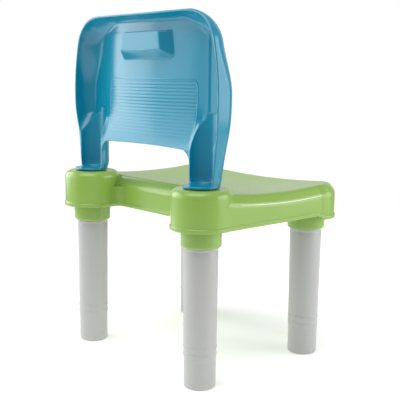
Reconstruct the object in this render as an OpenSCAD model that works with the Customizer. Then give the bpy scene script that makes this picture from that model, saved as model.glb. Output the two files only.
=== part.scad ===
// Toddler chair that knocks down into a seat, a backrest and four push-in legs.
// Millimetres. The sitter faces -Y, +Z is up, and the origin is on the floor in
// the middle of the four legs. Left and right are the sitter's own.

/* [Legs] */
// Half the distance between the leg axes, side to side
leg_x = 111.7; // [108:0.1:118]
// Half the distance between the leg axes, front to back
leg_y = 92.5; // [88:0.1:100]
// Height of a leg from the floor to its collar
leg_h = 170; // [140:1:200]
// Radius of a leg just below its collar
leg_top_r = 20.6; // [20.2:0.1:21.4]
// Radius of a leg just above its foot
leg_foot_r = 19.6; // [18.5:0.1:20]
// Radius of the spigot that pushes into the seat
spigot_r = 19.4; // [18:0.1:19.8]
// Length of the spigot
spigot_h = 35; // [25:1:40]
// Wall of the hollow leg
leg_wall = 2.2; // [1.8:0.1:3]

/* [Seat] */
// Outer radius of the round corners of the seat
corner_r = 36; // [34:0.1:38]
// Half the width of the seat across its side aprons
apron_x = 146; // [144.5:0.1:147.5]
// Distance from the origin to the rear apron
apron_y = 72; // [70:0.5:76]
// Outer radius of the collar round each leg
collar_r = 24.2; // [23:0.1:26]
// Drop of the collar below the aprons
collar_h = 20.5; // [16:0.5:26]
// Height of the side apron up to the lowest point of the seat's edge
apron_h = 36.5; // [34:0.5:38]
// Depth of the dish at the middle of the seat
dish_depth = 8; // [4:0.5:9]
// Height of the rear sockets
socket_h = 47; // [45:0.5:50]
// Wall of the moulded shell
wall = 2.8; // [2.4:0.1:3.2]

/* [Backrest] */
// Height of the backrest above the rear sockets
back_h = 201.5; // [195:0.5:215]
// Half the width of the backrest at its widest
back_x = 143.5; // [141:0.5:147]
// Depth of the rim that runs round the backrest
rim_d = 28.2; // [26:0.1:30]
// Inside radius of the half-round post channels
channel_r = 21; // [20:0.1:21.2]
// Radius of the peg under each post
peg_r = 15; // [12:0.5:16]
// Length of the peg
peg_h = 27; // [20:1:28]
// Number of ribs across the panel
rib_count = 17; // [9:1:17]

/* [Fits] */
// Radial clearance of a leg spigot or a backrest peg in its bore
fit_gap = 0.06; // [0.02:0.01:0.1]
// Gap left under a shoulder that rests on the seat
rest_gap = 0.05; // [0.02:0.01:0.2]

/* [Hidden] */
$fn = 96;
far = 400;
cut = 1;

// Leg details: a slightly narrower foot and two low rings above it
foot_round = 3;
foot_step = 0.4;
foot_band_h = 36;
ring_low_z = 40;
ring_high_z = 49;
ring_h = 3;
ring_out = 0.35;

// Seat heights and radii
seat_z = leg_h + collar_h;
edge_z = seat_z + apron_h;
socket_z = seat_z + socket_h;
web_z = leg_h + spigot_h + rest_gap;
bead_h = 5;
bead_out = 1.2;
front_drop = 5.5;
rear_fillet = 15;
socket_round = 8;
front_round = 9;
front_top_z = edge_z + 3;

// The seat's upper surface is turned about a cross axis high above the seat
saddle_r = 870;
saddle_y = -25;
saddle_z = edge_z + saddle_r;
edge_x = apron_x - 9;
crease_drop = 12.1;
dish_x = 130;
dish_r = (dish_x * dish_x + dish_depth * dish_depth) / (2 * dish_depth);
dish_rear_y = 60;
dish_ramp_y = 28;

// Backrest heights above the floor and depths along Y
post_y = 93.5;
disc_r = 21.4;
disc_h = 3;
neck_h = 0.8;
disc_z = socket_z + rest_gap + neck_h;
post_z = disc_z + disc_h;
back_z = socket_z + back_h;
wide_z = back_z - 99.5;
panel_z = post_z + 37.4;
side_r = 265;
top_corner_r = 40;
top_corner_x = back_x - 48.5;
rim_y = 98;
valley_y = rim_y - rim_d + wall;
panel_r = 352;
panel_mid_y = 88;
panel_x = 104;
inner_x = leg_x - channel_r - wall + 1;
gap_round = 16;
skirt_y = 92.5;
skirt_d = 20;
skirt_h = 38;
foot_taper = 2.4;
foot_taper_h = 9;
rib_x = 87;
rib_z = back_z - 80;
rib_pitch = 4.1;
rib_h = 2;
rib_out = 0.8;

// The raised box of the finger grip: its flat rear face and the reach of its sloped sides
grip_z = back_z - 23.5;
grip_h = 21;
grip_x = 38;
grip_slope = 13;

function arc(x, y, r, from, to, n = 12) =
    [for (i = [0:n]) let (a = from + (to - from) * i / n) [x + r * cos(a), y + r * sin(a)]];
function half_width(z) =
    back_x - (z > wide_z - 43 ? pow(z - wide_z, 2) / (2 * side_r) : 3.5 + (wide_z - 43 - z) * 0.115);

// Legs

// Outline of one low ring round a leg
function ring(z) = [
    [leg_foot_r, z - 1], [leg_foot_r + ring_out, z],
    [leg_foot_r + ring_out, z + ring_h], [leg_foot_r, z + ring_h + 1]
];

module leg() {
    inner_top = spigot_r - leg_wall;
    inner_foot = leg_foot_r - leg_wall - 0.8;
    shoulder_z = leg_h - rest_gap;
    top_z = leg_h + spigot_h;
    color("whitesmoke") rotate_extrude() polygon(concat(
        [[0, 0]],
        arc(leg_foot_r - foot_step - foot_round, foot_round, foot_round, -90, 0),
        [[leg_foot_r - foot_step, foot_band_h], [leg_foot_r, foot_band_h + 1]],
        ring(ring_low_z),
        ring(ring_high_z),
        [[leg_top_r, shoulder_z], [spigot_r, shoulder_z], [spigot_r, top_z - 1], [spigot_r - 1, top_z]],
        [[inner_top, top_z], [inner_top, leg_h - 8], [inner_foot, ring_low_z]],
        [[inner_foot, leg_wall + 2], [inner_foot - 2, leg_wall], [0, leg_wall]]
    ));
}

module place_leg(side, end) {
    translate([side * leg_x, end * leg_y, 0]) leg();
}

// Seat

module four_corners() {
    for (side = [-1, 1], end = [-1, 1]) translate([side * leg_x, end * leg_y]) children();
}

// Plan of the seat between its aprons, without the round rear sockets
module apron_plan(grow = 0) {
    corner = corner_r + grow;
    apron = apron_x + grow;
    rear = apron_y + grow;
    fillet_y = apron_y + rear_fillet;
    reach = corner_r + rear_fillet;
    fillet_x = leg_x - sqrt(reach * reach - pow(leg_y - fillet_y, 2));
    for (side = [-1, 1]) translate([side * leg_x, -leg_y]) circle(r = corner);
    translate([-apron, -leg_y]) square([2 * apron, leg_y + rear]);
    translate([-leg_x, -leg_y - corner]) square([2 * leg_x, corner + 1]);
    for (side = [-1, 1]) {
        translate([side > 0 ? leg_x : -apron, 0]) square([apron - leg_x, leg_y]);
        difference() {
            polygon([
                [side * fillet_x, rear - cut],
                [side * leg_x, rear - cut],
                [side * leg_x, leg_y],
                [side * (leg_x - corner + 2), leg_y - (leg_y - fillet_y) * corner_r / reach],
                [side * fillet_x, fillet_y]
            ]);
            translate([side * fillet_x, fillet_y]) circle(r = rear_fillet - grow);
        }
    }
}

module seat_plan(grow = 0) {
    apron_plan(grow);
    for (side = [-1, 1]) translate([side * leg_x, leg_y]) circle(r = corner_r + grow);
}

// Everything above the seat's edge and dish, lowered by an amount for the underside
module above_seat(lower = 0) {
    edge_r = saddle_r + lower;
    slope = crease_drop / (apron_x - edge_x);
    out_x = apron_x + 6;
    out_r = edge_r + slope * (out_x - edge_x);
    translate([0, saddle_y, saddle_z]) rotate([0, 90, 0]) rotate_extrude() polygon([
        [0, -out_x], [out_r, -out_x], [edge_r, -edge_x], [edge_r, edge_x], [out_r, out_x], [0, out_x]
    ]);
    intersection() {
        translate([0, saddle_y, edge_z - dish_depth - lower + dish_r]) sphere(r = dish_r, $fn = 200);
        dish_limit(lower);
    }
}

// The dish stops at a ramp that climbs to the rear edge of the seat
module dish_limit(lower) {
    low = edge_z - dish_depth - 10 - lower;
    translate([-dish_x, 0, 0]) rotate([90, 0, 90]) linear_extrude(2 * dish_x) polygon([
        [-far, low], [dish_ramp_y - 33, low], [dish_rear_y, edge_z + 4.3 - lower],
        [dish_rear_y, edge_z + 20], [-far, edge_z + 20]
    ]);
}

// Bevel round the front of the seat: a plane across it and a cone at each corner
module front_bevel(grow = 0, lower = 0) {
    reach = corner_r + grow;
    top = front_top_z - lower;
    profile = [
        [reach - front_round, top], [reach - 2, top - 8], [reach, top - 12], [reach + 9, top - 22],
        [reach + 9, top + 20], [reach - front_round, top + 20]
    ];
    for (side = [-1, 1]) translate([side * leg_x, -leg_y, 0])
        rotate([0, 0, side > 0 ? -90 : 180]) rotate_extrude(angle = 90) polygon(profile);
    translate([-leg_x, -leg_y, 0]) rotate([90, 0, 90]) linear_extrude(2 * leg_x)
        mirror([1, 0]) polygon(profile);
}

module rear_chamfer(lower = 0) {
    translate([-leg_x, 0, 0]) rotate([90, 0, 90]) linear_extrude(2 * leg_x) polygon([
        [apron_y + 6, edge_z - 8.5 - lower], [apron_y - lower, edge_z - 4.8 - lower],
        [apron_y - 5 - lower, edge_z + 1 - lower], [apron_y - 12 - lower, edge_z + 4.4 - lower],
        [apron_y - 12 - lower, edge_z + 30], [apron_y + 6, edge_z + 30]
    ]);
}

// The seat's solid outer form, or with a negative grow the form of its hollow
module seat_form(grow = 0, lower = 0) {
    difference() {
        translate([0, 0, seat_z - front_drop - lower]) linear_extrude(apron_h + 20) apron_plan(grow);
        above_seat(lower);
        rear_chamfer(lower);
        front_bevel(grow, lower);
    }
}

// Space under the aprons: their lower edge drops round the front corners only
module below_aprons() {
    low = seat_z - front_drop;
    side_y = -leg_y + 8;
    front_x = 56;
    along_x(far / 2) polygon([
        [far, 0], [far, seat_z], [side_y + 9, seat_z], [side_y, low], [side_y, 0]
    ]);
    translate([0, -leg_y - corner_r / 2, 0]) rotate([90, 0, 0]) linear_extrude(corner_r) polygon([
        [-front_x - 12, 0], [-front_x - 12, low], [-front_x, seat_z],
        [front_x, seat_z], [front_x + 12, low], [front_x + 12, 0]
    ]);
}

module seat_bead() {
    translate([0, 0, seat_z - front_drop]) linear_extrude(bead_h) seat_plan(bead_out);
    translate([0, 0, seat_z]) linear_extrude(bead_h) seat_plan(bead_out);
}

module rear_socket_skin(shrink = 0) {
    translate([0, 0, seat_z]) rotate_extrude() polygon(concat(
        [[0, -cut], [corner_r - shrink, -cut]],
        arc(corner_r - socket_round, socket_h - socket_round, socket_round - shrink, 0, 90),
        [[0, socket_h - shrink]]
    ));
}

// Collar that hangs below each corner, and the tube above it that holds a leg's spigot
module collar() {
    difference() {
        translate([0, 0, leg_h]) cylinder(r1 = collar_r - 2, r2 = collar_r, h = 2.5);
        translate([0, 0, leg_h - cut]) cylinder(r = spigot_r + fit_gap, h = 5);
    }
    difference() {
        translate([0, 0, leg_h + 2.5]) cylinder(r = collar_r, h = spigot_h + wall - 2.5 + rest_gap);
        translate([0, 0, leg_h]) cylinder(r = spigot_r + fit_gap, h = spigot_h + rest_gap);
    }
}

module rear_socket() {
    difference() {
        rear_socket_skin();
        difference() {
            rear_socket_skin(wall);
            translate([0, post_y - leg_y, seat_z]) cylinder(r = peg_r + wall, h = far);
        }
        peg_bore();
    }
}

module peg_bore() {
    translate([0, post_y - leg_y, web_z + wall]) cylinder(r = peg_r + fit_gap, h = far);
}

// Tubes that tie the front collars to the underside of the seat
module front_tubes() {
    intersection() {
        seat_form();
        for (side = [-1, 1]) translate([side * leg_x, -leg_y, web_z]) difference() {
            cylinder(r = collar_r, h = far);
            translate([0, 0, wall]) cylinder(r = collar_r - wall, h = far);
        }
    }
}

module seat() {
    color("yellowgreen") difference() {
        union() {
            difference() {
                union() {
                    seat_form();
                    seat_bead();
                }
                seat_form(-wall, wall);
                below_aprons();
                for (side = [-1, 1]) translate([side * leg_x, leg_y, 0]) rear_socket_skin(wall);
            }
            for (side = [-1, 1]) translate([side * leg_x, leg_y, 0]) rear_socket();
            four_corners() collar();
            front_tubes();
        }
        four_corners() translate([0, 0, leg_h - cut])
            cylinder(r = spigot_r + fit_gap, h = web_z - leg_h + cut);
        for (side = [-1, 1]) translate([side * leg_x, leg_y, 0]) peg_bore();
    }
}

// Backrest

module back_outline(inset = 0) {
    n = 20;
    low = post_z - (inset > 0 ? 10 : 0);
    top = back_z - inset;
    join_z = back_z - 31;
    sides = [for (i = [0:n]) let (z = low + (join_z - low) * i / n) [half_width(z) - inset, z]];
    corner = arc(top_corner_x, back_z - top_corner_r, top_corner_r - inset, 14, 90);
    right = concat(sides, corner);
    polygon(concat(right, [for (i = [len(right) - 1:-1:0]) [-right[i][0], right[i][1]]]));
}

// Open space between the posts, under the panel
module post_gap(grow = 0) {
    x = inner_x + grow;
    z = panel_z + grow;
    r = gap_round + grow;
    polygon(concat(
        [[-x, 0], [x, 0]],
        arc(x - r, z - r, r, 0, 90),
        arc(-x + r, z - r, r, 90, 180)
    ));
}

module along_y(from, to) {
    translate([0, to, 0]) rotate([90, 0, 0]) linear_extrude(to - from) children();
}

module along_x(half) {
    translate([-half, 0, 0]) rotate([90, 0, 90]) linear_extrude(2 * half) children();
}

// Everything in front of the backrest's rear skin, moved back by an offset
module behind_skin(off = 0) {
    translate([-far / 2, -far, 0]) cube([far, far + valley_y + off, 2 * far]);
    intersection() {
        translate([0, panel_mid_y - panel_r, 0]) cylinder(r = panel_r + off, h = 2 * far, $fn = 360);
        translate([-panel_x - off, -far, 0]) cube([2 * (panel_x + off), 2 * far, back_z - 21 + off]);
    }
    skirt(off);
    finger_grip(off);
}

// The lower edge sweeps back from the panel to the plane of the post lips
module skirt(off) {
    low = panel_z + 2 + off / 2;
    n = 6;
    along_x(far / 2) polygon(concat(
        [[-far, low + skirt_h], [-far, 0], [skirt_y + off, 0]],
        [for (i = [0:n]) [skirt_y + off - skirt_d * pow(i / n, 1.2), low + skirt_h * i / n]]
    ));
}

module finger_grip(off) {
    rear = rim_y - 1;
    base = rear - grip_slope;
    wide = grip_x + grip_slope + 1 + off;
    flat = grip_x + off / 2;
    low = grip_z - grip_h;
    intersection() {
        along_x(wide) polygon([
            [0, low - grip_slope - off], [base, low - grip_slope - off], [rear + off, low - off / 2],
            [rear + off, grip_z + off / 2], [rear - 6, grip_z + 6 + off], [0, grip_z + 6 + off]
        ]);
        linear_extrude(2 * far) polygon([
            [-wide, 0], [-wide, base], [-flat, rear + off], [flat, rear + off], [wide, base], [wide, 0]
        ]);
    }
}

module back_sheet() {
    difference() {
        intersection() {
            along_y(0, far) back_outline();
            behind_skin();
        }
        behind_skin(-wall);
        along_y(0, far) post_gap();
    }
}

module back_rim() {
    difference() {
        intersection() {
            along_y(0, rim_y) back_outline();
            translate([-far / 2, rim_y - rim_d, 0]) cube([far, far, 2 * far]);
        }
        along_y(0, far) back_outline(wall);
        intersection() {
            behind_skin(-wall);
            translate([-panel_x, -far, 0]) cube([2 * panel_x, 2 * far, 2 * far]);
        }
        along_y(0, far) post_gap();
    }
}

module post_tube(r) {
    tall = panel_z + skirt_h + 2 - post_z;
    translate([0, post_y, post_z]) {
        cylinder(r1 = r - foot_taper, r2 = r, h = foot_taper_h);
        translate([0, 0, foot_taper_h]) cylinder(r = r, h = tall - foot_taper_h);
    }
}

module post_foot() {
    z = disc_z - neck_h;
    translate([0, post_y, 0]) difference() {
        union() {
            translate([0, 0, disc_z]) cylinder(r = disc_r, h = disc_h);
            translate([0, 0, z]) cylinder(r = disc_r - 4, h = neck_h);
            translate([0, 0, z - peg_h]) cylinder(r1 = peg_r - 1, r2 = peg_r, h = 2);
            translate([0, 0, z - peg_h + 2]) cylinder(r = peg_r, h = peg_h - 2);
        }
        translate([0, 0, z - peg_h - cut]) cylinder(r = peg_r - wall, h = peg_h);
    }
}

module ribs() {
    for (i = [0:rib_count - 1]) translate([0, 0, rib_z - i * rib_pitch]) intersection() {
        translate([0, panel_mid_y - panel_r, 0]) difference() {
            cylinder(r = panel_r + rib_out, h = rib_h, $fn = 360);
            translate([0, 0, -cut]) cylinder(r = panel_r - 1, h = rib_h + 2 * cut, $fn = 360);
        }
        translate([-rib_x, 0, -cut]) cube([2 * rib_x, far, rib_h + 2 * cut]);
    }
}

module backrest() {
    color("steelblue") {
        difference() {
            union() {
                back_sheet();
                back_rim();
                for (side = [-1, 1]) translate([side * leg_x, 0, 0]) intersection() {
                    post_tube(channel_r + wall);
                    translate([-far / 2, 0, 0]) cube([far, skirt_y, far]);
                }
            }
            for (side = [-1, 1]) translate([side * leg_x, 0, 0]) post_tube(channel_r);
        }
        for (side = [-1, 1]) translate([side * leg_x, 0, 0]) post_foot();
        ribs();
    }
}

seat();
backrest();
place_leg(1, -1);  // leg_front_left
place_leg(-1, -1);  // leg_front_right
place_leg(1, 1);  // leg_rear_left
place_leg(-1, 1);  // leg_rear_right
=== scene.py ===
"""Toddler chair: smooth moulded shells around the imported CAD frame, with plastic, light and camera."""

import math

import bmesh
import bpy
import numpy as np
from mathutils import Matrix, Vector

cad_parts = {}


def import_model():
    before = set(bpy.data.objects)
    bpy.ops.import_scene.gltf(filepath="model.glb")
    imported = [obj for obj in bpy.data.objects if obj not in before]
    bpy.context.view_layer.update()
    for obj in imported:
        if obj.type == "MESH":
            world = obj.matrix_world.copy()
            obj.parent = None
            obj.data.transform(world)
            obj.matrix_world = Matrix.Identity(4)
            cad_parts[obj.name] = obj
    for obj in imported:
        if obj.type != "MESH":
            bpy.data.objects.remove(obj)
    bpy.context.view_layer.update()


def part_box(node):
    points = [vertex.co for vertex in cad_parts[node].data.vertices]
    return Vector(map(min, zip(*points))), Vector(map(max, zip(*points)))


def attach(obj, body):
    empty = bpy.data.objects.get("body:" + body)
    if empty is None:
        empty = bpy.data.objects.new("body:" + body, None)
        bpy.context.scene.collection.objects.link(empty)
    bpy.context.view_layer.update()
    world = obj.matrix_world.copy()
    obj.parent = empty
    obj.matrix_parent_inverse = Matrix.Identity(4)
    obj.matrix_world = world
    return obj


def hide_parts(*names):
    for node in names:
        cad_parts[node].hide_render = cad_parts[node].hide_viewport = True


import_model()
MM = 0.001


# ---------------------------------------------------------------- sizes, in millimetres

def in_mm(node):
    low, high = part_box(node)
    return np.array(low) / MM, np.array(high) / MM


seat_low, seat_high = in_mm("seat")
back_low, back_high = in_mm("backrest")
leg_low, leg_high = in_mm("leg_rear_left")

LEG_X = (leg_low[0] + leg_high[0]) / 2
LEG_Y = (leg_low[1] + leg_high[1]) / 2
LEG_H = seat_low[2]
SPIGOT_TOP = leg_high[2]
WALL = 2.8

# Seat, outside
BEAD = 1.2
BEAD_H = 5.0
CORNER_R = seat_high[0] - LEG_X - BEAD
APRON_X = LEG_X + CORNER_R - 1.7
APRON_Y = 72.0
STRIP_FRONT, STRIP_REAR = -60.0, 88.0
SEAT_Z = LEG_H + 20.5
EDGE_Z = SEAT_Z + 36.5
SOCKET_Z = seat_high[2]
CREASE_DROP = 12.1
CHAMFER_X = 9.0
DROP, DROP_X, DROP_Y = 5.5, 56.0, -76.0

# Seat, top
SADDLE_Y = -25.0
SADDLE_R = 870.0
DISH_DEPTH = 8.0
DISH_R = 1060.0
CREST_Y = 60.0
CREST_RISE = 4.3
RAMP_SLOPE = 0.34
REAR_SLOPE, REAR_BEND = 0.65, 0.03
REAR_X, REAR_LIFT = 84.0, 30.0

# Seat, collars and sockets underneath
COLLAR_R = 24.2
SPIGOT_R = 19.4
GAP = 0.06
BORE_R = SPIGOT_R + GAP
WEB_Z = SPIGOT_TOP + 0.05
SOCKET_FILLET = 4.2
SOCKET_FLARE = 14.6

# Backrest, outline
POST_Y = LEG_Y + 1.0
BACK_Z = back_high[2]
BACK_X = back_high[0]
TOP_R = 34.0
WIDE_Z = BACK_Z - 99.5
SIDE_BEND = 265.0
TAPER_Z = WIDE_Z - 43.0
TAPER_IN, TAPER_MORE, TAPER_H = 3.5, 9.7, 60.0
TAPER_SLOPE = 0.1

# Backrest, rim
RIM_Y = 98.0
RIM_FALL = 2.5
RIM_WALL = 2.3
HOLLOW_R = 10.5
SWEEP_R = 5.0
EDGE_R = 14.0
SHOULDER_X, SHOULDER_SPAN, SHOULDER_R = 66.0, 40.0, 12.0
FOOT_EDGE_Z, FOOT_EDGE_R = BACK_Z - 122.0, 8.0

# Backrest, panel
PANEL_Y = 87.3
PANEL_BEND = 400.0
PANEL_Z = BACK_Z - 160.0
VALLEY_Y = 72.6
FRONT_Y = 68.6
PLATEAU = 0.6
PLATEAU_X = 103.5
PLATEAU_R = 11.0
CREST_Z = BACK_Z - 21.5
LEDGE = 2.2
RIB_TOP = BACK_Z - 80.0
RIB_LOW = BACK_Z - 149.0
RIB_X = 87.0
RIB_R = 9.0
RIB_PITCH = 4.1
RIB_D = 0.3
BORDER_D = 0.5
ARCH, ARCH_X = 1.5, 72.0
GAP_R = 16.0

# Backrest, finger grip
GRIP_Y = RIM_Y - 1.2
GRIP_X = 51.0
GRIP_TAPER = 0.13
GRIP_MID = BACK_Z - 47.0
GRIP_TOP = BACK_Z - 11.0
GRIP_LOW = BACK_Z - 55.0
GRIP_R = 9.0
GRIP_WALL = 3.0

# Backrest, posts, lips, discs and pegs
DISC_Z = SOCKET_Z + 0.85
DISC_H = 3.0
DISC_R = 21.4
POST_Z = DISC_Z + DISC_H
PEG_Z = back_low[2]
PEG_R = 15.0
NECK = 4.0
CHANNEL_R = 21.0
CHANNEL_Z = BACK_Z - 116.0
TUBE_R = 23.8
TUBE_Z = BACK_Z - 117.0
LIP_Y = 92.3
LIP_X, LIP_SPAN = 83.0, 13.0
LIP_Z, LIP_H = BACK_Z - 121.0, 38.0
SKIRT_Z, SKIRT_H = BACK_Z - 104.0, 56.0
FOOT_IN, FOOT_H = 1.3, 16.0
ANKLE_IN, ANKLE_H = 2.2, 10.0

# Legs
FOOT_R = 19.6
LEG_R = 20.6
BORE_TOP_R, BORE_LOW_R = 17.0, 16.6
LEG_FLOOR = 2.3
STEP_Z = 35.5
BAND_Z, BAND_PITCH, BAND_D, BAND_H = 41.3, 9.0, 0.42, 1.9


# ---------------------------------------------------------------- solids from distance fields

def join(a, b, r):
    """Union of two fields with a concave fillet of radius r."""
    return np.maximum(r, np.minimum(a, b)) - np.hypot(np.maximum(r - a, 0), np.maximum(r - b, 0))


def meet(a, b, r):
    """Intersection of two fields with a convex round of radius r."""
    return np.minimum(-r, np.maximum(a, b)) + np.hypot(np.maximum(r + a, 0), np.maximum(r + b, 0))


def cut(a, b, r):
    return meet(a, -b, r)


def step(t):
    t = np.clip(t, 0, 1)
    return t * t * (3 - 2 * t)


def above(value, start, span):
    """Smooth share that rises from 0 at start to 1 where value is span beyond it."""
    return step((value - start) / span)


def under(value, start, span):
    """Smooth share that rises from 0 at start to 1 where value is span short of it."""
    return step((start - value) / span)


def slab(z, low, high):
    return np.abs(z - (low + high) / 2) - (high - low) / 2


def soft_max(a, b, r):
    return 0.5 * (a + b + np.sqrt((a - b) ** 2 + r * r))


def soft_min(a, b, r):
    return 0.5 * (a + b - np.sqrt((a - b) ** 2 + r * r))


def corner_distance(u, v):
    """Distance to the quarter plane where u and v are both negative."""
    return np.hypot(np.maximum(u, 0), np.maximum(v, 0)) + np.minimum(np.maximum(u, v), 0)


def round_rect(x, z, half, top, r):
    """Distance to a shape bounded by x = half and z = top, with one round corner, open downwards."""
    return corner_distance(x - (half - r), z - (top - r)) - r


def gradient(field, p, e=0.02):
    g = np.empty_like(p)
    for k in range(3):
        d = np.zeros(3)
        d[k] = e
        hi, lo = p + d, p - d
        g[:, k] = (field(*hi.T) - field(*lo.T)) / (2 * e)
    return g


def surface(field, low, high, size):
    """Quad mesh of the field's zero surface, by surface nets, with its points moved onto the surface."""
    axes = [np.arange(a - 1.5 * size, b + 2.5 * size, size) for a, b in zip(low, high)]
    values = np.stack([
        field(np.full((len(axes[1]), len(axes[2])), x), *np.meshgrid(axes[1], axes[2], indexing="ij"))
        for x in axes[0]
    ])
    corners = [(i, j, k) for i in (0, 1) for j in (0, 1) for k in (0, 1)]
    shape = np.array(values.shape) - 1

    def block(c):
        return values[c[0]:shape[0] + c[0], c[1]:shape[1] + c[1], c[2]:shape[2] + c[2]]

    inside = sum((block(c) < 0).astype(np.int8) for c in corners)
    cells = np.argwhere((inside > 0) & (inside < 8))
    number = np.full(shape, -1, np.int64)
    number[tuple(cells.T)] = np.arange(len(cells))
    at = {c: block(c)[tuple(cells.T)] for c in corners}
    total, count = np.zeros((len(cells), 3)), np.zeros(len(cells))
    for c in corners:
        for k in range(3):
            if c[k]:
                continue
            d = tuple(1 if n == k else c[n] for n in range(3))
            a, b = at[c], at[d]
            hit = (a < 0) != (b < 0)
            t = np.where(hit, a / np.where(hit, a - b, 1), 0)
            point = np.array(c, float)[None, :] + t[:, None] * np.eye(3)[k]
            total += np.where(hit[:, None], point, 0)
            count += hit
    points = (cells + total / count[:, None]) * size + np.array([a[0] for a in axes])
    faces = []
    for k in range(3):
        u, v = [(1, 2), (2, 0), (0, 1)][k]
        ahead = np.moveaxis(values, k, 0)
        change = (ahead[:-1] < 0) != (ahead[1:] < 0)
        where = np.argwhere(np.moveaxis(change, 0, k))
        where = where[(where[:, u] > 0) & (where[:, v] > 0)]
        where = where[(where[:, u] < shape[u]) & (where[:, v] < shape[v])]
        ring = []
        for du, dv in ((1, 1), (0, 1), (0, 0), (1, 0)):
            cell = where.copy()
            cell[:, u] -= du
            cell[:, v] -= dv
            ring.append(number[tuple(cell.T)])
        quad = np.stack(ring, 1)
        out = values[tuple(where.T)] < 0
        faces.append(np.where(out[:, None], quad, quad[:, ::-1]))
    for _ in range(4):
        g = gradient(field, points)
        length = np.maximum((g * g).sum(1), 0.05)
        move = field(*points.T)[:, None] * g / length[:, None]
        reach = np.linalg.norm(move, axis=1, keepdims=True)
        points -= move * np.minimum(1, 0.5 * size / np.maximum(reach, 1e-9))
    return points, np.concatenate(faces)


def mesh_piece(name, points, faces):
    """A smooth piece from points in millimetres and four-sided faces."""
    mesh = bpy.data.meshes.new(name)
    mesh.vertices.add(len(points))
    mesh.vertices.foreach_set("co", (points * MM).astype(np.float32).ravel())
    mesh.loops.add(faces.size)
    mesh.loops.foreach_set("vertex_index", faces.astype(np.int32).ravel())
    mesh.polygons.add(len(faces))
    mesh.polygons.foreach_set("loop_start", np.arange(0, faces.size, 4, dtype=np.int32))
    mesh.update(calc_edges=True)
    mesh.validate()
    mesh.polygons.foreach_set("use_smooth", np.ones(len(mesh.polygons), bool))
    piece = bpy.data.objects.new(name, mesh)
    bpy.context.scene.collection.objects.link(piece)
    return piece


def thread(path, r, sides=10):
    """A thin round bead along a path: its points, faces and normals."""
    path = np.array(path)
    along = np.gradient(path, axis=0)
    along /= np.linalg.norm(along, axis=1, keepdims=True)
    across = np.cross(along, (0, 0, 1))
    across /= np.linalg.norm(across, axis=1, keepdims=True)
    over = np.cross(across, along)
    turn = np.arange(sides) * 2 * math.pi / sides
    normals = across[:, None] * np.cos(turn)[:, None] + over[:, None] * np.sin(turn)[:, None]
    taper = np.sin(math.pi * np.linspace(0.02, 0.98, len(path))) ** 0.3
    points = path[:, None] + r * taper[:, None, None] * normals
    k = np.arange(sides)
    ring = np.stack([k + sides, (k + 1) % sides + sides, (k + 1) % sides, k], 1)
    faces = ring[None] + sides * np.arange(len(path) - 1)[:, None, None]
    return points.reshape(-1, 3), faces.reshape(-1, 4), normals.reshape(-1, 3)


def moulded(name, field, low, high, size, beads=()):
    """A piece with the field's zero surface, true normals, and any beads last in its list of faces."""
    points, faces = surface(field, low, high, size)
    normals = gradient(field, points)
    normals /= np.maximum(np.linalg.norm(normals, axis=1, keepdims=True), 1e-9)
    for bead_points, bead_faces, bead_normals in beads:
        faces = np.concatenate([faces, bead_faces + len(points)])
        points = np.concatenate([points, bead_points])
        normals = np.concatenate([normals, bead_normals])
    piece = mesh_piece(name, points, faces)
    piece.data.normals_split_custom_set_from_vertices(normals.tolist())
    return piece


# ---------------------------------------------------------------- backrest

def half_width(z):
    """Half the width of the backrest's outline below its round top corners."""
    bulge = (z - WIDE_Z) ** 2 / (2 * SIDE_BEND)
    taper = TAPER_IN + TAPER_MORE * (1 - np.exp(-np.maximum(TAPER_Z - z, 0) / TAPER_H))
    foot = FOOT_IN * np.clip((POST_Z + FOOT_H - z) / FOOT_H, 0, 1) ** 2
    return BACK_X - np.where(z < TAPER_Z, taper + foot, bulge)


def back_outline(ax, z):
    """Distance to the outline in the XZ plane, negative inside."""
    tangent_z = BACK_Z - TOP_R
    lean = math.atan((tangent_z - WIDE_Z) / SIDE_BEND)
    r = TOP_R / (1 - math.sin(lean))
    cx = float(half_width(np.array(tangent_z))) - r * math.cos(lean)
    cz = BACK_Z - r
    slope = np.where(z > TAPER_Z, (z - WIDE_Z) / SIDE_BEND, -TAPER_SLOPE)
    side = (ax - half_width(np.minimum(z, tangent_z))) / np.sqrt(1 + slope ** 2)
    corner = np.where(ax > cx, np.hypot(ax - cx, z - cz) - r, z - BACK_Z)
    up = (z - cz) * math.cos(lean) - (ax - cx) * math.sin(lean) > 0
    return np.where(up, corner, side)


def skirt_share(ax, z):
    """How far the lower edge has swept back from the panel to the plane of the lips, from 0 to 1."""
    panel = np.clip((SKIRT_Z - z) / SKIRT_H, 0, 1) ** 2
    t = np.clip((LIP_Z - z) / LIP_H, 0, 1)
    post = 0.5 * (np.sin(0.5 * math.pi * t) * step(4 * t) + step(t))
    return panel + (post - panel) * above(ax, LIP_X, LIP_SPAN)


def panel_y(ax):
    return PANEL_Y - ax ** 2 / (2 * PANEL_BEND)


def grip(ax, z, y, shrink):
    """Raised box behind the finger grip, with 45 degree sides, or the pocket in front of it."""
    half = GRIP_X - GRIP_TAPER * (z - GRIP_MID) - shrink
    upright = slab(z, GRIP_LOW + shrink, GRIP_TOP - shrink) + GRIP_R
    inward = GRIP_R - corner_distance(ax - (half - GRIP_R), upright)
    fillet = 0.8
    rise = soft_max(inward, 0, fillet) - fillet / 4
    return soft_min(y + rise, GRIP_Y - shrink, 1.5 * fillet)


def rib_relief(ax, z):
    """Height of the ribs and of the fine line around them, which fade out at the panel's lower edge."""
    field = round_rect(ax, z, RIB_X, RIB_TOP + 1.5, RIB_R)
    wave = 0.5 + 0.5 * np.cos(2 * math.pi * (z - RIB_TOP) / RIB_PITCH)
    line = np.exp(-((field + 0.2) / 0.7) ** 2)
    return (RIB_D * wave * step(-field / 2.5) + BORDER_D * line) * above(z, RIB_LOW, 4)


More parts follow.
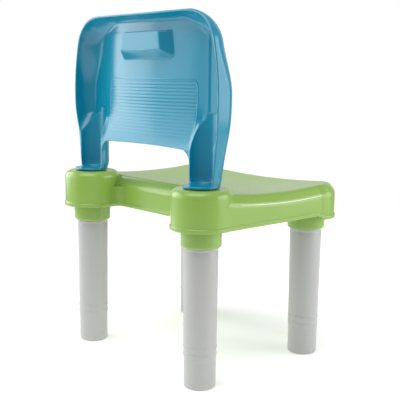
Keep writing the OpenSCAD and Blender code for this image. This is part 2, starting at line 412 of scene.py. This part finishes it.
def rear_skin(ax, z):
    """Y of the backrest's rear skin."""
    y = soft_max(panel_y(ax) - PLATEAU, VALLEY_Y, 3)
    y = y + PLATEAU * step(0.5 - round_rect(ax, z, PLATEAU_X, CREST_Z, PLATEAU_R) / 4.5)
    y = y + (grip(ax, z, y, 0) - y) * under(z, CREST_Z + 0.6, LEDGE)
    y = y + rib_relief(ax, z)
    return y + (LIP_Y - y) * skirt_share(ax, z)


def front_skin(ax, z):
    """Y of the backrest's front skin."""
    y = soft_max(panel_y(ax) - WALL - 0.6, FRONT_Y, 4)
    y = y + (grip(ax, z, y, GRIP_WALL) - y) * under(z, CREST_Z - 2.4, LEDGE)
    share = skirt_share(ax, z - 1) * (1 - above(ax, 100, 16))
    return y + (LIP_Y - WALL - 0.4 - y) * share


def rimmed_panel(ax, y, z, outline, rear):
    """The moulding between its outline and its two skins, open to the rear inside the rim."""
    front = (front_skin(ax, z) - y) * 0.9
    side = above(ax, SHOULDER_X, SHOULDER_SPAN)
    shoulder = SHOULDER_R * above(z, WIDE_Z + 5, 55) * side
    body = meet(outline, front, EDGE_R + shoulder + FOOT_EDGE_R * under(z, FOOT_EDGE_Z, 72))
    body = meet(body, y - RIM_Y + RIM_FALL * under(z, WIDE_Z - 12, 42), 1)
    sweep = shoulder + SWEEP_R * above(z, PANEL_Z + 24, 36) * side
    hollow = meet(-rear, outline + RIM_WALL, HOLLOW_R + sweep)
    return cut(body, hollow, 0.9)


def peg(about, z):
    """The hollow peg under a post and the neck that joins it to the disc."""
    neck = meet(about - DISC_R + NECK, slab(z, DISC_Z - 0.75, DISC_Z + 0.75), 0.1)
    body = meet(about - PEG_R, slab(z, PEG_Z, DISC_Z), 1.5)
    bore = meet(about - PEG_R + WALL, z - DISC_Z + 0.5, 1)
    return np.minimum(cut(body, bore, 0.5), neck)


def backrest_field(x, y, z):
    ax = np.abs(x)
    outline = back_outline(ax, z)
    rear = (y - rear_skin(ax, z)) * 0.85
    body = rimmed_panel(ax, y, z, outline, rear)
    about = np.hypot(ax - LEG_X, y - POST_Y)
    ankle = ANKLE_IN * np.clip((POST_Z + ANKLE_H - z) / ANKLE_H, 0, 1) ** 2
    tube = meet(meet(about - TUBE_R + ankle, rear, 0.6), z - TUBE_Z, 3)
    body = join(body, meet(tube, outline + 0.1, 0.5), 0.5)
    arch = ARCH * (1 - np.minimum(ax / ARCH_X, 1) ** 2)
    gap = round_rect(ax, z, LEG_X - TUBE_R + 0.5, PANEL_Z + arch, GAP_R)
    body = cut(body, gap, 0.9)
    channel = meet(meet(about - CHANNEL_R + ankle, POST_Z - 4 - z, 0.5), z - CHANNEL_Z, 2)
    body = cut(body, channel, 0.6)
    body = meet(body, POST_Z - 1 - z, 0.3)
    disc = meet(about - DISC_R, slab(z, DISC_Z, DISC_Z + DISC_H), 1)
    return np.minimum(join(body, disc, 1), peg(about, z))


# ---------------------------------------------------------------- seat

def seat_plan(ax, y):
    """Distance to the plan of the aprons and rear sockets, negative inside."""
    front = corner_distance(ax - (APRON_X - CORNER_R), -y - LEG_Y) - CORNER_R
    core = meet(front, y - APRON_Y, 0.5)
    strip = np.maximum(np.maximum(ax - APRON_X, LEG_X - ax), np.maximum(y - STRIP_REAR, STRIP_FRONT - y))
    corner = np.hypot(ax - LEG_X, y + LEG_Y) - CORNER_R
    return np.minimum(np.minimum(core, strip), corner)


def edge_height(y):
    return EDGE_Z + (y - SADDLE_Y) ** 2 / (2 * SADDLE_R)


def dish_height(ax, y):
    """Height of the seat's top: a shallow bowl, a ramp up to the rear crest, and the fall behind it."""
    back = y - CREST_Y
    bowl = EDGE_Z - DISH_DEPTH + (ax ** 2 + (y - SADDLE_Y) ** 2) / (2 * DISH_R)
    ramp = EDGE_Z + CREST_RISE + RAMP_SLOPE * back
    fall = EDGE_Z + CREST_RISE - REAR_SLOPE * back - REAR_BEND * np.maximum(back, 0) ** 2
    fall = fall + REAR_LIFT * above(ax, REAR_X, 30)
    top = soft_min(soft_max(bowl, ramp, 3.5), edge_height(y), 1.6)
    return soft_min(top, fall, 1.2)


def lower_edge(ax, y):
    """Height of the aprons' lower edge, which drops at the front corners."""
    return SEAT_Z - DROP * under(y, DROP_Y, 11) * above(ax, DROP_X, 14)


def seat_body(ax, y, z, inset, r):
    """The seat with its bevelled sides and dished top, drawn in by inset and rounded by r."""
    plan = seat_plan(ax, y) + inset
    top = z - dish_height(ax, y) + inset
    slope = CREASE_DROP / CHAMFER_X
    bevel = (z - edge_height(y) + CREASE_DROP + inset + slope * plan) / math.hypot(1, slope)
    return meet(meet(plan, bevel, r * 0.4), top, r)


def seat_outside(ax, y, z, rear, low):
    """Aprons, top, rear sockets and the bead around the lower edge, before it is hollowed."""
    plan = seat_plan(ax, y)
    body = seat_body(ax, y, z, 0, 4)
    socket = meet(rear - CORNER_R, z - SOCKET_Z, 8)
    inner = under(ax, LEG_X - 8, 16)
    outer_plan = join(plan, rear - CORNER_R, 0.4 + SOCKET_FLARE * inner)
    body = join(body, socket, 0.8 + SOCKET_FILLET * inner)
    body = np.minimum(body, np.maximum(outer_plan, np.maximum(z - EDGE_Z + 10, 50 - y)))
    bead = meet(outer_plan - BEAD, slab(z, low, low + BEAD_H), 0.8)
    return join(body, bead, 0.6)


def seat_tubes(ax, y, z, near):
    """The collars, the tubes that take the pegs and the open tubes above the front collars."""
    collar = meet(near - COLLAR_R, slab(z, LEG_H, WEB_Z + WALL), 2.4)
    peg_tube = np.maximum(np.hypot(ax - LEG_X, y - POST_Y) - PEG_R - WALL, slab(z, WEB_Z, SOCKET_Z - 1))
    ring = np.maximum(near - COLLAR_R, COLLAR_R - WALL - near)
    ends = np.maximum(WEB_Z - z, z - dish_height(ax, y) + 1)
    front_tube = np.maximum(np.maximum(ring, ends), y)
    return np.minimum(np.minimum(collar, peg_tube), front_tube)


def seat_field(x, y, z):
    ax = np.abs(x)
    rear = np.hypot(ax - LEG_X, y - LEG_Y)
    near = np.minimum(rear, np.hypot(ax - LEG_X, y + LEG_Y))
    low = lower_edge(ax, y)
    hollow = np.maximum(seat_body(ax, y, z, WALL, 2), CORNER_R - 1 - rear)
    hollow = np.minimum(hollow, meet(rear - CORNER_R + WALL, z - SOCKET_Z + WALL, 6))
    body = cut(seat_outside(ax, y, z, rear, low), hollow, 0.5)
    body = np.minimum(meet(body, low - z, 0.8), seat_tubes(ax, y, z, near))
    leg_bore = np.maximum(near - BORE_R, z - WEB_Z)
    peg_bore = np.maximum(np.hypot(ax - LEG_X, y - POST_Y) - PEG_R - GAP, WEB_Z + WALL - z)
    return cut(cut(body, leg_bore, 0.3), peg_bore, 0.4)


def crease_bead(side):
    """The fine bead along the crease between an apron and its bevel, which carries a painted highlight."""
    path = [(side * (APRON_X - 0.35), y, edge_height(y) - CREASE_DROP) for y in np.linspace(62, -LEG_Y, 90)]
    return thread(path, 0.5)


# ---------------------------------------------------------------- legs

def leg_profile():
    """Radius and height of a leg's outer skin from the floor up, then its rim and inner wall."""
    def taper(z):
        return FOOT_R + (LEG_R - FOOT_R) * (z - 37) / (LEG_H - 37)

    def band(z, n):
        return np.exp(-((z - BAND_Z - n * BAND_PITCH) / BAND_H) ** 4)

    points = [(0, 0), (8, 0)]
    points += [(FOOT_R - 3.4 + 3 * math.sin(a), 3 - 3 * math.cos(a)) for a in np.linspace(0, math.pi / 2, 8)]
    points += [(FOOT_R - 0.4, z) for z in np.linspace(6, 35, 8)]
    for z in np.arange(STEP_Z, 56, 0.5):
        bump = BAND_D * (band(z, 0) + band(z, 1))
        points.append((taper(z) - 0.4 * under(z, STEP_Z + 2, 2) + bump, z))
    points += [(taper(z), z) for z in np.linspace(58, LEG_H - 5, 16)]
    top = taper(LEG_H)
    points += [(top - 0.25, LEG_H - 4.2), (top - 0.25, LEG_H - 3.4), (top, LEG_H - 2.8)]
    points += [(top - 0.05, LEG_H - 0.6), (top - 0.6, LEG_H - GAP)]
    points += [(SPIGOT_R, LEG_H - GAP), (SPIGOT_R, SPIGOT_TOP - 1), (SPIGOT_R - 0.8, SPIGOT_TOP)]
    points += [(BORE_TOP_R + 0.2, SPIGOT_TOP), (BORE_TOP_R, LEG_H - 8), (BORE_LOW_R, 40), (BORE_LOW_R, 5)]
    points += [(14, LEG_FLOOR), (0, LEG_FLOOR)]
    return points


def leg_piece(name, side, end, turns=112):
    """A leg turned from its profile about its own upright axis."""
    cx, cy = side * LEG_X, end * LEG_Y
    angles = [2 * math.pi * k / turns for k in range(turns)]
    made = bmesh.new()
    rings = []
    for r, z in leg_profile():
        circle = [(cx + r * math.cos(a), cy + r * math.sin(a), z) for a in angles]
        ring = circle if r > 0 else [(cx, cy, z)]
        rings.append([made.verts.new([v * MM for v in point]) for point in ring])
    for low, high in zip(rings, rings[1:]):
        for k in range(turns):
            n = (k + 1) % turns
            corners = [low[k % len(low)], low[n % len(low)], high[n % len(high)], high[k % len(high)]]
            made.faces.new(list(dict.fromkeys(corners)))
    bmesh.ops.recalc_face_normals(made, faces=made.faces)
    for face in made.faces:
        face.smooth = True
    for edge in made.edges:
        if len(edge.link_faces) == 2 and edge.calc_face_angle() > math.radians(35):
            edge.smooth = False
    mesh = bpy.data.meshes.new(name)
    made.to_mesh(mesh)
    made.free()
    piece = bpy.data.objects.new(name, mesh)
    bpy.context.scene.collection.objects.link(piece)
    return piece


# ---------------------------------------------------------------- plastic

def plastic(name, colour, tint, roughness, grain):
    """Moulded plastic: slow colour drift, a fine skin and slightly uneven gloss."""
    material = bpy.data.materials.new(name)
    material.use_nodes = True
    nodes, links = material.node_tree.nodes, material.node_tree.links
    shader = nodes["Principled BSDF"]
    place = nodes.new("ShaderNodeTexCoord")
    drift = nodes.new("ShaderNodeTexNoise")
    drift.inputs["Scale"].default_value = 9
    drift.inputs["Detail"].default_value = 3
    links.new(place.outputs["Object"], drift.inputs["Vector"])
    blend = nodes.new("ShaderNodeMix")
    blend.data_type = "RGBA"
    blend.inputs["A"].default_value = (*colour, 1)
    blend.inputs["B"].default_value = (*tint, 1)
    links.new(drift.outputs["Fac"], blend.inputs["Factor"])
    links.new(blend.outputs["Result"], shader.inputs["Base Color"])
    skin = nodes.new("ShaderNodeTexNoise")
    skin.inputs["Scale"].default_value = grain
    skin.inputs["Detail"].default_value = 4
    links.new(place.outputs["Object"], skin.inputs["Vector"])
    gloss = nodes.new("ShaderNodeMapRange")
    gloss.inputs["From Min"].default_value = 0.3
    gloss.inputs["From Max"].default_value = 0.7
    gloss.inputs["To Min"].default_value = roughness - 0.04
    gloss.inputs["To Max"].default_value = roughness + 0.05
    links.new(skin.outputs["Fac"], gloss.inputs["Value"])
    links.new(gloss.outputs["Result"], shader.inputs["Roughness"])
    bump = nodes.new("ShaderNodeBump")
    bump.inputs["Strength"].default_value = 0.05
    bump.inputs["Distance"].default_value = 0.0002
    links.new(skin.outputs["Fac"], bump.inputs["Height"])
    links.new(bump.outputs["Normal"], shader.inputs["Normal"])
    shader.inputs["IOR"].default_value = 1.58
    return material


green = plastic("green_plastic", (0.27, 0.45, 0.082), (0.255, 0.43, 0.072), 0.20, 900)
blue = plastic("blue_plastic", (0.002, 0.258, 0.4), (0.002, 0.244, 0.38), 0.20, 900)
white = plastic("white_plastic", (0.45, 0.455, 0.445), (0.43, 0.435, 0.425), 0.32, 1200)


# ---------------------------------------------------------------- pieces

def finish_piece(piece, material, body):
    piece.data.materials.append(material)
    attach(piece, body)
    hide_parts(body)


# Painted highlight: the crease bead is coloured near white so that it shows as the gloss line along the
# crease.
crease_highlight_paint = plastic("green_crease_painted_highlight", (0.85, 0.9, 0.78), (0.83, 0.88, 0.76), 0.2, 900)
beads = [crease_bead(-1), crease_bead(1)]
seat = moulded("seat_shell", seat_field, seat_low, seat_high, 1.15, beads)
finish_piece(seat, green, "seat")
seat.data.materials.append(crease_highlight_paint)
# The bead's faces take the near-white painted-highlight material.
bead_count = sum(len(faces) for _, faces, _ in beads)
for polygon in seat.data.polygons[-bead_count:]:
    polygon.material_index = 1
backrest = moulded("backrest_shell", backrest_field, back_low, back_high, 0.85)
finish_piece(backrest, blue, "backrest")
for end, end_name in ((-1, "front"), (1, "rear")):
    for side, side_name in ((1, "left"), (-1, "right")):
        node = f"leg_{end_name}_{side_name}"
        finish_piece(leg_piece(node + "_tube", side, end), white, node)


# ---------------------------------------------------------------- floor, light and camera

def lamp(name, place, aim, size, radiance):
    """A soft box, in metres, that looks equally bright at any size, and that the camera doesn't see."""
    light = bpy.data.lights.new(name, "AREA")
    light.shape = "RECTANGLE"
    light.size, light.size_y = size
    light.energy = radiance * math.pi * size[0] * size[1]
    holder = bpy.data.objects.new(name, light)
    holder.visible_camera = False
    bpy.context.scene.collection.objects.link(holder)
    holder.location = place
    holder.rotation_euler = (Vector(aim) - Vector(place)).to_track_quat("-Z", "Y").to_euler()


def floor(radius=1.1, sides=96):
    """A pale round of paper that glows a little, so that it fades into the white behind it."""
    mesh = bpy.data.meshes.new("floor")
    edge = [2 * math.pi * k / sides for k in range(sides)]
    mesh.from_pydata([(radius * math.cos(a), radius * math.sin(a), 0) for a in edge], [], [range(sides)])
    plane = bpy.data.objects.new("floor", mesh)
    bpy.context.scene.collection.objects.link(plane)
    material = bpy.data.materials.new("floor_paper")
    material.use_nodes = True
    shader = material.node_tree.nodes["Principled BSDF"]
    shader.inputs["Base Color"].default_value = (0.95, 0.95, 0.95, 1)
    shader.inputs["Roughness"].default_value = 0.9
    shader.inputs["Emission Color"].default_value = (1, 1, 1, 1)
    shader.inputs["Emission Strength"].default_value = 0.25
    mesh.materials.append(material)


def world(fill):
    """White surroundings that light the chair more softly than they look."""
    sky = bpy.data.worlds.new("studio")
    sky.use_nodes = True
    nodes, links = sky.node_tree.nodes, sky.node_tree.links
    back = nodes["Background"]
    back.inputs["Color"].default_value = (1, 1, 1, 1)
    path = nodes.new("ShaderNodeLightPath")
    level = nodes.new("ShaderNodeMapRange")
    level.inputs["To Min"].default_value = fill
    level.inputs["To Max"].default_value = 1.0
    links.new(path.outputs["Is Camera Ray"], level.inputs["Value"])
    links.new(level.outputs["Result"], back.inputs["Strength"])
    bpy.context.scene.world = sky


def camera():
    """Behind the chair, from the sitter's rear right, just above the top of the backrest."""
    lens = bpy.data.cameras.new("camera")
    lens.sensor_width = 36
    lens.lens = 68.86
    eye = Vector((-0.7566, 0.6720, 0.3633))
    turn, tilt, roll = math.radians(228.178), math.radians(9.134), math.radians(0.643)
    back = Vector((math.sin(turn) * math.cos(tilt), -math.cos(turn) * math.cos(tilt), math.sin(tilt)))
    right = (-back).cross(Vector((0, 0, 1))).normalized()
    up = right.cross(-back)
    level = Matrix((right, up, back)).transposed()
    holder = bpy.data.objects.new("camera", lens)
    bpy.context.scene.collection.objects.link(holder)
    holder.matrix_world = Matrix.Translation(eye) @ (level @ Matrix.Rotation(roll, 3, "Z")).to_4x4()
    bpy.context.scene.camera = holder


floor()
world(0.32)
lamp("left_softbox", (1.31, 0.56, 0.68), (0, 0.09, 0.5), (1.2, 1.3), 3.1)
lamp("left_fill", (0.82, 1.31, 0.62), (0, 0.09, 0.5), (0.6, 1.2), 1.7)
lamp("right_softbox", (-1.0, -0.78, 0.5), (-0.1, 0, 0.3), (1.1, 0.95), 2.8)
lamp("far_softbox", (1.3, -1.2, 0.8), (0, 0, 0.25), (3.2, 1.6), 0.4)
lamp("top_softbox", (-0.2, 0.7, 2.0), (0, 0, 0.25), (1.7, 1.5), 3.1)
camera()
bpy.context.scene.view_settings.view_transform = "Standard"
